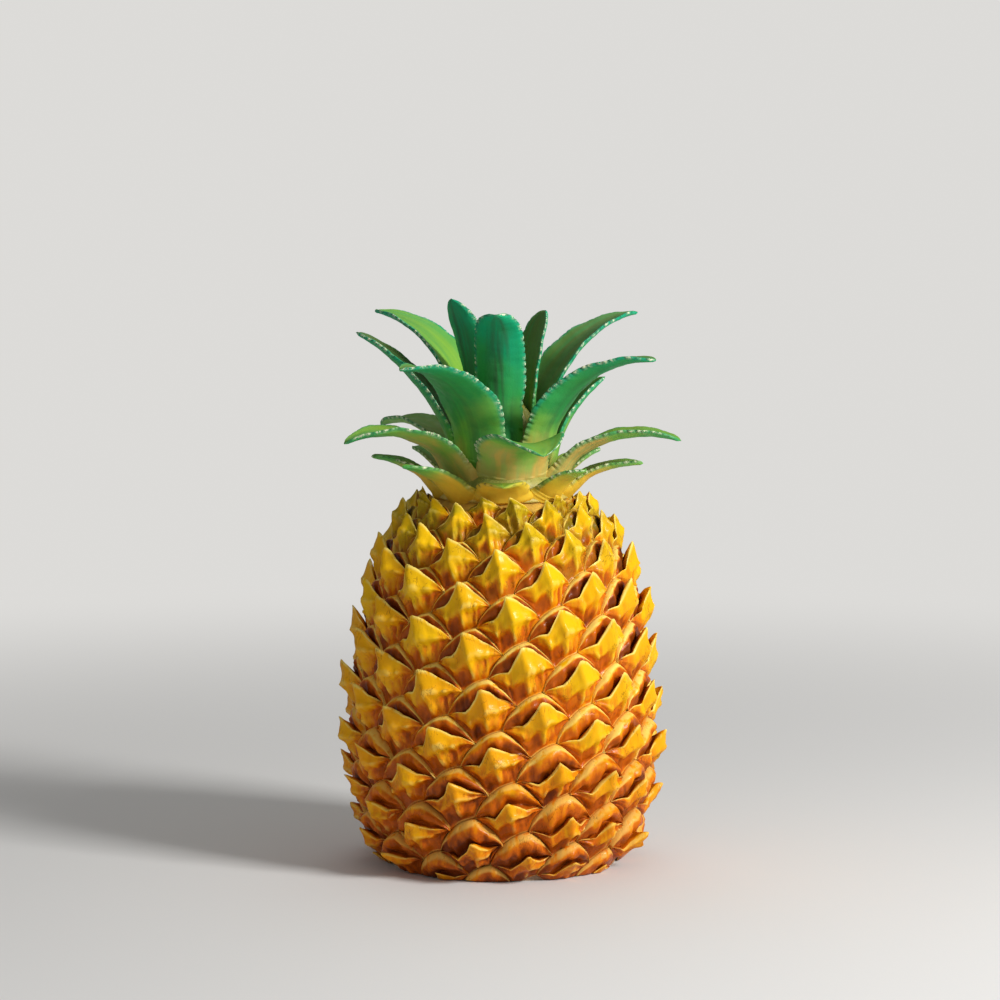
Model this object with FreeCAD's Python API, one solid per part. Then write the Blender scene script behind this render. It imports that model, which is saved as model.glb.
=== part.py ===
import FreeCAD, Part
import os
from math import acos, asin, cos, degrees, exp, radians, sin

# Free-standing pineapple ornament: a hollow body covered with fruitlets, and a crown of leaves.
# Lengths are in millimetres. The origin is the centre of the foot, on the surface that the
# ornament stands on. +Z is up and the front faces -Y. A turn is an angle round the axis from
# the front, towards +X.

# Body core: a shell of revolution. Its outline is a lower arc up to the belly, a long flank
# arc and a tighter shoulder arc, all tangent, up to the neck.
foot_radius = 47.0
belly_radius = 57.0
belly_height = 48.0
flank_radius = 300.0
shoulder_height = 110.0
shoulder_radius = 70.0
neck_radius = 25.0
core_wall = 6.0
collar_depth = 8.0          # solid ring round the neck bore

# Base disc, which closes the core from below
base_thickness = 6.0
base_inset = 0.5            # how far the disc stays inside the skin of the body
spigot_height = 5.0
spigot_wall = 5.0
spigot_clearance = 0.3
vent_radius = 3.0           # lets the air out while the body is fired
vent_offset = 22.0

# Crown stem, which plugs the neck and carries the leaves
tenon_radius = 13.0
tenon_depth = 11.0
tenon_clearance = 0.3
flange_margin = 1.2         # from the edge of the neck in to the flange
flange_height = 2.0
stem_rise = 40.0            # from the neck to the foot of the dome
stem_top_radius = 8.0
stem_dome = 3.0

# Fruitlets, set on two families of spirals round the body
divergence = 220.3          # degrees from one fruitlet to the next
fruitlet_rise = 1.133       # how far each lies below the one before, along the skin
small_step = 5              # the neighbour to the right is this many fruitlets on
large_step = 18             # the neighbour below is this many fruitlets on
first_turn = -175.9
first_run = -13.0           # first fruitlet's place on the spirals
crowding_start = 70.0       # over this run the rows crowd together towards the neck
crowding_length = 220.0
growing_run = 34.0          # the fruitlets grow to their full height over this run
corner_shift = 2.0          # sideways shift of a cell's right, upper left and lowest corners
corner_drop = 2.4           # their shift downwards
tip_height = 10.5           # bract tip over the skin
opening_start = 70.0        # from this run down the bracts open, until the run where they
opening_end = 125.0         # stand wide open and the pillows behind them are full
joint_gap = 0.4             # half of the groove between two fruitlets
luting_gap = 0.12           # slip layer under a piece that is stuck on
neck_margin = 0.9           # from the neck's edge down to the first fruitlets
floor_gap = 0.4             # the lowest fruitlets are cut this far over the surface
foot_overrun = 5.0          # fruitlets go on until their centre is this far under the floor

# Leaves, curved blades with a channelled section
leaf_length = 60.0
leaf_width = 26.0
leaf_thickness = 2.6
leaf_margin = 1.6           # thickness at the side edges
leaf_sink = 3.6             # how far the blade is drawn on into the stem before it is cut

# A fruitlet's surface, from its lower edge to its upper edge. Each row is the way across the
# cell and the height, on the middle line and then on its left and right side lines, as shares
# of the cell and of the tip. The rows are the lower edge, two on the front of the bract, its
# rim, the hollow behind the rim, the crest of the pillow, its brow and the upper edge.
closed_shares = (
    (0.00, 0.12, 0.00, 0.12, 0.00, 0.12),
    (0.22, 0.52, 0.20, 0.36, 0.22, 0.38),
    (0.55, 0.80, 0.46, 0.48, 0.50, 0.54),
    (0.91, 1.00, 0.66, 0.56, 0.76, 0.64),
    (0.60, 0.32, 0.56, 0.28, 0.57, 0.28),
    (0.80, 0.46, 0.74, 0.44, 0.80, 0.40),
    (0.94, 0.46, 0.93, 0.42, 0.94, 0.40),
    (1.00, 0.13, 1.00, 0.13, 1.00, 0.13),
)
open_shares = (
    (0.00, 0.12, 0.00, 0.12, 0.00, 0.12),
    (0.20, 0.50, 0.18, 0.36, 0.18, 0.36),
    (0.42, 0.80, 0.38, 0.50, 0.36, 0.48),
    (0.68, 0.97, 0.54, 0.58, 0.50, 0.54),
    (0.60, 0.40, 0.53, 0.34, 0.51, 0.32),
    (0.74, 0.62, 0.71, 0.54, 0.72, 0.50),
    (0.90, 0.62, 0.90, 0.52, 0.90, 0.50),
    (1.00, 0.13, 1.00, 0.13, 1.00, 0.13),
)
corner_share = 0.27         # height of the cell's left and right corners
side_share = 0.4            # where the side lines cross, from the middle to a corner
keel_share = 0.15           # the middle line and the tip stand a little to the right
low_tip_share = 0.70        # height of the fruitlets at the neck
uneven_share = 0.06         # hand-made variation of the heights

# Leaf blade width along its length: widest at a third, with a pointed tip
widest_share = 0.34
channel_share = 0.15
station_shares = (0.0, 0.08, 0.2, 0.34, 0.5, 0.66, 0.8, 0.9, 0.965, 0.99)

# name, turn, root height on the stem, length, width, root width, start and end elevation,
# sideways sway. Heights, lengths and widths are shares of the stem's rise and the leaf's
# sizes, and a root width is a share of its blade's.
leaf_shares = (
    ("leaf_low_front", 0, 0.07, 0.28, 0.90, 0.80, 56, -22, 0),
    ("leaf_low_front_right", 46, 0.06, 0.42, 0.68, 0.86, 38, 18, 0),
    ("leaf_low_right", 90, 0.06, 0.61, 0.66, 0.86, 40, -2, 0),
    ("leaf_low_back_right", 132, 0.07, 0.58, 0.66, 0.86, 40, 8, 0),
    ("leaf_low_back", 178, 0.06, 0.56, 0.68, 0.86, 40, 8, 0),
    ("leaf_low_back_left", -136, 0.07, 0.58, 0.66, 0.86, 42, 8, 0),
    ("leaf_low_left", -90, 0.06, 0.57, 0.66, 0.86, 45, 6, 0),
    ("leaf_low_front_left", -44, 0.06, 0.62, 0.68, 0.86, 35, 10, 0),
    ("leaf_outer_front", 12, 0.27, 0.68, 1.38, 0.64, 67, -34, 16),
    ("leaf_outer_right", 78, 0.23, 0.98, 0.96, 0.64, 50, -18, 0),
    ("leaf_outer_back", 162, 0.24, 0.90, 0.96, 0.64, 55, -18, 0),
    ("leaf_outer_back_left", -130, 0.25, 0.90, 0.98, 0.64, 60, -22, 0),
    ("leaf_outer_left", -56, 0.23, 1.01, 1.04, 0.64, 56, -23, -8),
    ("leaf_middle_front_left", -34, 0.42, 1.14, 1.24, 0.60, 82, -5, -10),
    ("leaf_middle_right_front", 54, 0.43, 1.24, 1.06, 0.60, 76, -2, 8),
    ("leaf_middle_right", 106, 0.36, 0.72, 0.84, 0.60, 74, 34, 0),
    ("leaf_middle_back", 172, 0.42, 1.05, 0.96, 0.60, 72, 10, 0),
    ("leaf_middle_left", -98, 0.42, 1.13, 0.94, 0.60, 71, 28, 0),
    ("leaf_upper_left", -122, 0.64, 1.25, 1.08, 0.60, 84, 6, 0),
    ("leaf_upper_right", 122, 0.63, 1.28, 0.98, 0.60, 80, 6, 0),
    ("leaf_heart_front", -4, 0.72, 0.98, 0.80, 0.66, 94, 26, 0),
    ("leaf_heart_left", -76, 0.80, 0.86, 0.88, 0.56, 90, 63, 32),
    ("leaf_heart_right", 122, 0.82, 0.74, 0.74, 0.60, 90, 66, 0),
    ("leaf_heart_back", 174, 0.66, 0.80, 0.56, 0.60, 84, 44, 0),
)

axis = FreeCAD.Vector(0, 0, 1)
origin = FreeCAD.Vector(0, 0, 0)

# Centres and turns of the three arcs of the outline, as radius and height
lower_drop = belly_radius - foot_radius
lower_radius = (lower_drop ** 2 + belly_height ** 2) / (2 * lower_drop)
lower_centre = (belly_radius - lower_radius, belly_height)
flank_centre = (belly_radius - flank_radius, belly_height)
shoulder_turn = asin((shoulder_height - belly_height) / flank_radius)
shoulder_centre = (flank_centre[0] + (flank_radius - shoulder_radius) * cos(shoulder_turn),
                   flank_centre[1] + (flank_radius - shoulder_radius) * sin(shoulder_turn))
neck_turn = acos((neck_radius - shoulder_centre[0]) / shoulder_radius)
neck_height = shoulder_centre[1] + shoulder_radius * sin(neck_turn)
shoulder_run = shoulder_radius * (neck_turn - shoulder_turn)
flank_run = flank_radius * shoulder_turn
lower_run = lower_radius * asin(belly_height / lower_radius)
skin_run = shoulder_run + flank_run + lower_run

bore_radius = tenon_radius + tenon_clearance
flange_radius = neck_radius - flange_margin


def on_arc(centre, radius, tilt):
    """Radius and height of the point of an arc where the outward normal has this tilt."""
    return centre[0] + radius * cos(tilt), centre[1] + radius * sin(tilt)


def skin(run):
    """Radius, height and normal's tilt at a distance down the skin from the neck."""
    if run < shoulder_run:
        tilt = neck_turn - run / shoulder_radius
        centre, radius = shoulder_centre, shoulder_radius
    elif run < shoulder_run + flank_run:
        tilt = shoulder_turn - (run - shoulder_run) / flank_radius
        centre, radius = flank_centre, flank_radius
    else:
        tilt = (shoulder_run + flank_run - run) / lower_radius
        centre, radius = lower_centre, lower_radius
    return *on_arc(centre, radius, tilt), tilt


def flat(radius, height):
    return FreeCAD.Vector(radius, 0, height)


def revolve(edges):
    """Solid of revolution of a closed outline in the XZ plane."""
    return Part.Face(Part.Wire(Part.__sortEdges__(edges))).revolve(origin, axis, 360)


def outline(points):
    """Straight edges from each point to the next."""
    return [Part.LineSegment(flat(*a), flat(*b)).toShape() for a, b in zip(points, points[1:])]


def arc(centre, radius, start, end):
    """Arc of the outline between two tilts."""
    marks = [on_arc(centre, radius, tilt) for tilt in (start, (start + end) / 2, end)]
    return Part.Arc(*[flat(*mark) for mark in marks]).toShape()


def inner_radius(height):
    """Radius of the cavity at a height below the belly."""
    radius = lower_radius - core_wall
    return on_arc(lower_centre, radius, asin((height - belly_height) / radius))[0]


def base_disc():
    """Disc under the core, with a ring that fits inside the core's wall and a vent."""
    disc = Part.makeCylinder(foot_radius - base_inset, base_thickness)
    ring_radius = inner_radius(base_thickness) - spigot_clearance
    ring = Part.makeCylinder(ring_radius, base_thickness + spigot_height)
    hollow = Part.makeCylinder(ring_radius - spigot_wall, base_thickness + spigot_height,
                               FreeCAD.Vector(0, 0, base_thickness))
    vent = Part.makeCylinder(vent_radius, base_thickness, FreeCAD.Vector(0, vent_offset, 0))
    return disc.fuse(ring).cut(hollow).cut(vent).removeSplitter()


def body_core():
    """Hollow body from the base disc up to the neck, with the bore for the crown."""
    foot_tilt = asin((base_thickness - belly_height) / lower_radius)
    inner_foot_tilt = asin((base_thickness - belly_height) / (lower_radius - core_wall))
    collar_height = neck_height - collar_depth
    collar_tilt = asin((collar_height - shoulder_centre[1]) / (shoulder_radius - core_wall))
    cavity_top = on_arc(shoulder_centre, shoulder_radius - core_wall, collar_tilt)
    edges = [
        arc(lower_centre, lower_radius, foot_tilt, 0),
        arc(flank_centre, flank_radius, 0, shoulder_turn),
        arc(shoulder_centre, shoulder_radius, shoulder_turn, neck_turn),
        arc(lower_centre, lower_radius - core_wall, inner_foot_tilt, 0),
        arc(flank_centre, flank_radius - core_wall, 0, shoulder_turn),
        arc(shoulder_centre, shoulder_radius - core_wall, shoulder_turn, collar_tilt),
    ]
    edges += outline([(neck_radius, neck_height), (bore_radius, neck_height),
                      (bore_radius, collar_height), cavity_top])
    edges += outline([on_arc(lower_centre, lower_radius - core_wall, inner_foot_tilt),
                      on_arc(lower_centre, lower_radius, foot_tilt)])
    return revolve(edges)


def stem_cone(extra):
    """Flange and tapering stem with a domed top, grown outwards by an extra."""
    foot, top = flange_radius + extra, stem_top_radius + extra
    shoulder, peak = neck_height + flange_height, neck_height + stem_rise
    edges = outline([(0, neck_height - extra), (foot, neck_height - extra), (foot, shoulder),
                     (top, peak)])
    tip = flat(0, peak + stem_dome + extra)
    ball = (top ** 2 + (stem_dome + extra) ** 2) / (2 * (stem_dome + extra))
    middle_turn = asin(top / ball) / 2
    middle = flat(ball * sin(middle_turn), tip.z - ball * (1 - cos(middle_turn)))
    edges.append(Part.Arc(flat(top, peak), middle, tip).toShape())
    edges.append(Part.LineSegment(tip, flat(0, neck_height - extra)).toShape())
    return revolve(edges)


def crown_stem():
    """Stem with the tenon that sits in the neck's bore."""
    tenon = Part.makeCylinder(tenon_radius, tenon_depth + flange_height,
                              FreeCAD.Vector(0, 0, neck_height - tenon_depth))
    return stem_cone(0).fuse(tenon).removeSplitter()


def wrap(turn):
    return (turn + 180) % 360 - 180


def crowded(run):
    """Run along the skin of a place on the spirals, which are even below the shoulder."""
    if run > crowding_start:
        return run
    if run > 0:
        return run + (crowding_start - run) ** 2 / (2 * crowding_length)
    top_run = crowding_start ** 2 / (2 * crowding_length)
    top_share = 1 - crowding_start / crowding_length
    room = top_run - neck_margin
    return neck_margin + room * exp(run * top_share / room)


def cell_outline():
    """Corners of the six-sided cell round a fruitlet, as turn and run from its centre.

    Every other corner is shifted. The same shift in all cells keeps them fitting together.
    """
    shift = (degrees(corner_shift / belly_radius), corner_drop)
    a = (wrap(small_step * divergence), small_step * fruitlet_rise)
    b = (wrap(large_step * divergence), large_step * fruitlet_rise)
    c = (a[0] - b[0], a[1] - b[1])
    right = ((a[0] + c[0]) / 3 + shift[0], (a[1] + c[1]) / 3 + shift[1])
    top_left = (right[0] - a[0], right[1] - a[1])
    bottom_left = (right[0] - c[0], right[1] - c[1])
    left = (-(a[0] + c[0]) / 3, -(a[1] + c[1]) / 3)
    bottom_right = (left[0] + a[0], left[1] + a[1])
    top_right = (left[0] + c[0], left[1] + c[1])
    return (left, bottom_left, bottom_right, right), (left, top_left, top_right, right)


def between(a, b, share):
    return tuple(first + (second - first) * share for first, second in zip(a, b))


def edge_spot(corners, across):
    """Point of a cell's lower or upper edge, from -1 at its left corner to 1 at its right."""
    if across < -side_share:
        return between(corners[0], corners[1], (1 + across) / (1 - side_share))
    if across > side_share:
        return between(corners[3], corners[2], (1 - across) / (1 - side_share))
    return between(corners[1], corners[2], (across + side_share) / (2 * side_share))


lower_edge, upper_edge = cell_outline()
cell_reach = large_step * fruitlet_rise / 2
shrink_share = 1 - joint_gap / cell_reach


def fruitlet_spot(turn, run, across, along, height):
    """Point over the skin, given its place in the cell round a fruitlet."""
    low, high = edge_spot(lower_edge, across), edge_spot(upper_edge, across)
    way = between(low, high, along)
    spot_turn = radians(turn + way[0] * shrink_share)
    radius, level, tilt = skin(crowded(run + way[1] * shrink_share))
    reach = radius + height * cos(tilt)
    return FreeCAD.Vector(reach * sin(spot_turn), -reach * cos(spot_turn),
                          level + height * sin(tilt))


def fruitlet(index):
    """One fruitlet: an upturned bract with a hollow behind it, over a rounded pillow."""
    turn = wrap(first_turn + index * divergence)
    run = first_run + index * fruitlet_rise
    grown_share = min(1, low_tip_share + (1 - low_tip_share) * (run - first_run) / growing_run)
    tip = tip_height * grown_share * (1 + uneven_share * sin(index * small_step))
    sag = cell_reach ** 2 / (4 * shoulder_radius) + cell_reach ** 2 / (4 * belly_radius)
    seat = luting_gap + sag
    opened = min(1, max(0, (run - opening_start) / (opening_end - opening_start)))
    rows = [between(*pair, opened) for pair in zip(closed_shares, open_shares)]
    columns = []
    for across, start in ((-side_share, 2), (keel_share, 0), (side_share, 4)):
        places = [row[start:start + 2] for row in rows]
        columns.append([fruitlet_spot(turn, run, across, along, max(tip * share, 2 * seat))
                        for along, share in places])
    corner_height = max(tip * corner_share, 2 * seat)
    corners = [fruitlet_spot(turn, run, across, 0, corner_height) for across in (-1, 1)]
    ring_places = [(-1, 0), (-side_share, 0), (0, 0), (side_share, 0), (1, 0),
                   (side_share, 1), (0, 1), (-side_share, 1)]
    ring = [corners[0], columns[0][0], columns[1][0], columns[2][0], corners[1],
            columns[2][-1], columns[1][-1], columns[0][-1]]
    back = [fruitlet_spot(turn, run, *place, seat) for place in ring_places]
    centre = fruitlet_spot(turn, run, 0, 1 / 2, seat)

    faces = []
    for low, high in zip(range(len(rows)), range(1, len(rows))):
        faces.append((corners[0], columns[0][low], columns[0][high]))
        for left, right in zip(columns, columns[1:]):
            faces.append((left[low], right[low], right[high]))
            faces.append((left[low], right[high], left[high]))
        faces.append((columns[2][low], corners[1], columns[2][high]))
    for here, there in zip(range(len(ring)), list(range(1, len(ring))) + [0]):
        faces.append((back[here], back[there], ring[there]))
        faces.append((back[here], ring[there], ring[here]))
        faces.append((back[there], back[here], centre))
    shell = Part.Shell([Part.Face(Part.makePolygon([*face, face[0]])) for face in faces])
    shell.sewShape()
    solid = Part.Solid(shell.Shells[0])
    if solid.BoundBox.ZMin < floor_gap:
        size = 3 * belly_radius
        above = Part.makeBox(size, size, size, FreeCAD.Vector(-size / 2, -size / 2, floor_gap))
        solid = solid.common(above).Solids[0]
    return solid


def fruitlet_columns():
    """All fruitlets, grouped by the steep rows that run down the body."""
    columns = [[] for _ in range(large_step)]
    for index in range(int((skin_run + foot_overrun - first_run) / fruitlet_rise)):
        columns[index % large_step].append(fruitlet(index))
    return [Part.makeCompound(column) for column in columns]


def blade_width_share(along, root_share):
    """Width of a leaf at a share of its length, as a share of its full width."""
    opening = min(1, along / widest_share)
    opening = opening * opening * (3 - 2 * opening)
    return (1 - along ** 2.4) ** 0.8 * (root_share + (1 - root_share) * opening)


def leaf_section(place, side, up, along, width, root_share):
    """Crescent outline of a blade: a channel above and a keel below."""
    half = width * blade_width_share(along, root_share) / 2
    rise = 2 * half * channel_share
    middle = leaf_thickness * (1 - along / 2)
    margin = leaf_margin * (1 - along / 3)
    left, right = place - side * half, place + side * half
    upper = Part.Arc(left + up * rise, place, right + up * rise).toShape()
    lower = Part.Arc(right + up * (rise - margin), place - up * middle,
                     left + up * (rise - margin)).toShape()
    return Part.Wire([upper, Part.LineSegment(upper.Vertexes[-1].Point,
                                              lower.Vertexes[0].Point).toShape(),
                      lower, Part.LineSegment(lower.Vertexes[-1].Point,
                                              upper.Vertexes[0].Point).toShape()])


def leaf(turn, height_share, length_share, width_share, root_share, start, end, sway):
    """Blade that leaves the stem at one elevation and bends over to another."""
    length, width = leaf_length * length_share, leaf_width * width_share
    height = neck_height + stem_rise * height_share
    slope = (height - neck_height - flange_height) / (stem_rise - flange_height)
    radius = flange_radius + (stem_top_radius - flange_radius) * slope
    angle = radians(turn)
    outward = FreeCAD.Vector(sin(angle), -cos(angle), 0)
    place = outward * radius + axis * height
    root_tangent = outward * cos(radians(start)) + axis * sin(radians(start))
    root_up = axis * cos(radians(start)) - outward * sin(radians(start))
    side = FreeCAD.Vector(cos(angle), sin(angle), 0)
    foot = place - root_tangent * leaf_sink
    sections = [leaf_section(foot, side, root_up, 0, width, root_share)]
    steps = 60
    for step in range(steps + 1):
        along = step / steps
        angle = radians(turn + sway * along)
        elevation = radians(start + (end - start) * along)
        outward = FreeCAD.Vector(sin(angle), -cos(angle), 0)
        side = FreeCAD.Vector(cos(angle), sin(angle), 0)
        tangent = outward * cos(elevation) + axis * sin(elevation)
        up = axis * cos(elevation) - outward * sin(elevation)
        for share in station_shares:
            if along <= share < along + 1 / steps:
                spot = place + tangent * length * (share - along)
                sections.append(leaf_section(spot, side, up, share, width, root_share))
        place = place + tangent * length / steps
    blade = Part.makeLoft(sections, True, False)
    neck_block = Part.makeCylinder(neck_radius + leaf_thickness, leaf_length,
                                   axis * (neck_height + luting_gap - leaf_length))
    return blade.cut(stem_cone(luting_gap)).cut(neck_block)


os.makedirs("parts", exist_ok=True)
base_disc().exportStep("parts/base_disc.step")
body_core().exportStep("parts/body_core.step")
crown_stem().exportStep("parts/crown_stem.step")
for number, column in enumerate(fruitlet_columns(), 1):
    column.exportStep(f"parts/fruitlet_column_{number:02d}.step")
for name, *shares in leaf_shares:
    leaf(*shares).exportStep(f"parts/{name}.step")
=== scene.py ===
import bpy, bmesh
from math import acos, asin, atan2, ceil, cos, degrees, exp, hypot, radians, sin, sqrt
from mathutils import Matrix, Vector, noise


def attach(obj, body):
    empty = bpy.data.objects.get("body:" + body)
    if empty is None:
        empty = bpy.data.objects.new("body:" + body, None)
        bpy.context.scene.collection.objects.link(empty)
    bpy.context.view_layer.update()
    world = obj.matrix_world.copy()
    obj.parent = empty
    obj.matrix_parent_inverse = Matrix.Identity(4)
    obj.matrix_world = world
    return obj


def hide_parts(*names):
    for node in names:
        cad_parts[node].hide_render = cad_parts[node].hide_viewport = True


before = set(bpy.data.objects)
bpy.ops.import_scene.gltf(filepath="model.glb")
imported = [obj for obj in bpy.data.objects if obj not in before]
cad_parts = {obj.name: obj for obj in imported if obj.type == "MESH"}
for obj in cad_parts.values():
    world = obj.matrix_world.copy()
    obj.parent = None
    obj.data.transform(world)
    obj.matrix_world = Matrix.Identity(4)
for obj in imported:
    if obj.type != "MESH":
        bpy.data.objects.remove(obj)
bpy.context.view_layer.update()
mm = 0.001
print("frame loaded")


def blend(a, b, share):
    return a + (b - a) * share


def ease(share):                    # 0 to 1 with soft ends
    share = min(1, max(0, share))
    return share * share * (3 - 2 * share)


def hump(distance, width):          # 1 in the middle, fading on both sides
    return exp(-(distance / width) ** 2)


def chance(index, salt):            # steady number from 0 to 1
    return noise.cell_vector(Vector((index * 1.37 + 0.11, salt * 3.71 + 0.3, 0.5)))[0]


# outline of the body, in millimetres like the solids
bodyValues = {
    "footRadius": 47, "bellyRadius": 57, "bellyHeight": 48,
    "flankRadius": 300, "shoulderHeight": 110, "shoulderRadius": 70,
    "neckRadius": 25,
}


def bodyArcs(values):
    drop = values["bellyRadius"] - values["footRadius"]
    low = (drop ** 2 + values["bellyHeight"] ** 2) / (2 * drop)
    flank, shoulder = values["flankRadius"], values["shoulderRadius"]
    turn = asin((values["shoulderHeight"] - values["bellyHeight"]) / flank)
    flankX, flankZ = values["bellyRadius"] - flank, values["bellyHeight"]
    shoulderX = flankX + (flank - shoulder) * cos(turn)
    shoulderZ = flankZ + (flank - shoulder) * sin(turn)
    neckTurn = acos((values["neckRadius"] - shoulderX) / shoulder)
    return {
        "low": (values["bellyRadius"] - low, values["bellyHeight"], low),
        "flank": (flankX, flankZ, flank), "shoulder": (shoulderX, shoulderZ, shoulder),
        "turn": turn, "neckTurn": neckTurn,
        "shoulderRun": shoulder * (neckTurn - turn), "flankRun": flank * turn,
        "lowRun": low * asin(values["bellyHeight"] / low),
        "neckHeight": shoulderZ + shoulder * sin(neckTurn),
    }


arcs = bodyArcs(bodyValues)


def skin(run):                      # radius, height and tilt at a run down from the neck
    upper = arcs["shoulderRun"] + arcs["flankRun"]
    if run < arcs["shoulderRun"]:
        x, z, radius = arcs["shoulder"]
        tilt = arcs["neckTurn"] - run / radius
    elif run < upper:
        x, z, radius = arcs["flank"]
        tilt = arcs["turn"] - (run - arcs["shoulderRun"]) / radius
    else:
        x, z, radius = arcs["low"]
        tilt = (upper - run) / radius
    return x + radius * cos(tilt), z + radius * sin(tilt), tilt


# helpers for the node trees of the paints
def newPaint(name):
    material = bpy.data.materials.new(name)
    material.use_nodes = True
    tree = material.node_tree
    return material, tree, tree.nodes["Principled BSDF"]


def putIn(tree, socket, value):     # a link, a colour or a number
    if isinstance(value, bpy.types.NodeSocket):
        tree.links.new(value, socket)
    elif hasattr(value, "__len__"):
        socket.default_value = (*value, 1)
    else:
        socket.default_value = value


def mixColour(tree, share, a, b):
    node = tree.nodes.new("ShaderNodeMix")
    node.data_type = "RGBA"
    sockets = [s for s in node.inputs if s.type == "RGBA"]
    putIn(tree, node.inputs[0], share)
    putIn(tree, sockets[0], a)
    putIn(tree, sockets[1], b)
    return [s for s in node.outputs if s.type == "RGBA"][0]


def reckon(tree, operation, values):        # one math node after the other
    total = values[0]
    for value in values[1:]:
        node = tree.nodes.new("ShaderNodeMath")
        node.operation = operation
        putIn(tree, node.inputs[0], total)
        putIn(tree, node.inputs[1], value)
        total = node.outputs[0]
    return total


def times(tree, *values):
    return reckon(tree, "MULTIPLY", values)


def plus(tree, *values):
    return reckon(tree, "ADD", values)


def unsigned(tree, value):
    return reckon(tree, "ABSOLUTE", (value, 0))


def attribute(tree, name):
    node = tree.nodes.new("ShaderNodeAttribute")
    node.attribute_name = name
    return node.outputs["Fac"]


def spread(tree, value, low, high, bottom=0, top=1):    # bottom at low, top at high
    node = tree.nodes.new("ShaderNodeMapRange")
    node.interpolation_type = "SMOOTHSTEP"
    tree.links.new(value, node.inputs["Value"])
    node.inputs["From Min"].default_value = low
    node.inputs["From Max"].default_value = high
    node.inputs["To Min"].default_value = bottom
    node.inputs["To Max"].default_value = top
    return node.outputs["Result"]


def noiseAt(tree, vector, size, detail):
    node = tree.nodes.new("ShaderNodeTexNoise")
    node.inputs["Detail"].default_value = detail
    tree.links.new(vector, node.inputs["Vector"])
    putIn(tree, node.inputs["Scale"], size)
    return node.outputs["Fac"]


def brushGroup():                   # hand brushing: broad blotches, fine streaks and grain
    tree = bpy.data.node_groups.new("handBrushing", "ShaderNodeTree")
    for name in ("Blotch Size", "Streak Size", "Grain Size"):
        tree.interface.new_socket(name, in_out="INPUT", socket_type="NodeSocketFloat")
    for name in ("Blotch", "Streak", "Grain"):
        tree.interface.new_socket(name, in_out="OUTPUT", socket_type="NodeSocketFloat")
    given, out = tree.nodes.new("NodeGroupInput"), tree.nodes.new("NodeGroupOutput")
    place = tree.nodes.new("ShaderNodeTexCoord").outputs["Object"]
    stretch = tree.nodes.new("ShaderNodeMapping")
    stretch.inputs["Scale"].default_value = (1, 1, 0.3)     # streaks run upright
    tree.links.new(place, stretch.inputs["Vector"])
    blotch = noiseAt(tree, place, given.outputs["Blotch Size"], 4)
    streak = noiseAt(tree, stretch.outputs["Vector"], given.outputs["Streak Size"], 3)
    grain = noiseAt(tree, place, given.outputs["Grain Size"], 2)
    tree.links.new(blotch, out.inputs["Blotch"])
    tree.links.new(streak, out.inputs["Streak"])
    tree.links.new(grain, out.inputs["Grain"])
    return tree


brushing = brushGroup()


def addBrushing(tree, sizes):
    node = tree.nodes.new("ShaderNodeGroup")
    node.node_tree = brushing
    for name, size in zip(("Blotch", "Streak", "Grain"), sizes):
        node.inputs[name + " Size"].default_value = size
    return node.outputs["Blotch"], node.outputs["Streak"], node.outputs["Grain"]


def addFinish(tree, shader, values, base, uneven, height):      # colour, roughness and bump
    tree.links.new(base, shader.inputs["Base Color"])
    smoother, rougher = values["roughRange"]
    tree.links.new(spread(tree, uneven, 0.3, 0.7, smoother, rougher), shader.inputs["Roughness"])
    bump = tree.nodes.new("ShaderNodeBump")
    bump.inputs["Strength"].default_value = values["bump"]
    bump.inputs["Distance"].default_value = values["bumpDistance"] * mm
    tree.links.new(height, bump.inputs["Height"])
    tree.links.new(bump.outputs["Normal"], shader.inputs["Normal"])


fruitletColours = {
    "yellow": (0.87, 0.36, 0.002), "lemon": (0.90, 0.52, 0.004), "orange": (0.62, 0.125, 0.002),
    "brown": (0.15, 0.025, 0.002), "cream": (0.95, 0.72, 0.16), "olive": (0.26, 0.26, 0.008),
    "brushSizes": (95, 420, 1500),
    # how much brown each place gets, from the figurine's own brown paint and from painted shade
    "hollowWashAndShade": 0.8, "rootWashAndShade": 0.66, "flankShade": 0.22, "foldWashAndShade": 0.08,
    "edgeRubAndHighlight": -0.25, "streakWash": 0.14, "footDarkening": 0.42,
    "neckOlive": 0.6, "edgeCream": 0.95, "footCream": 0.45, "ridgeCream": 0.5, "crackBrown": 0.45,
    "roughRange": (0.30, 0.52), "specular": 0.1, "coat": 0.1, "coatRoughness": 0.16,
    "bump": 0.25, "bumpDistance": 0.9, "grainHeight": 0.35, "crackHeight": -0.4,
}


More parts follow.
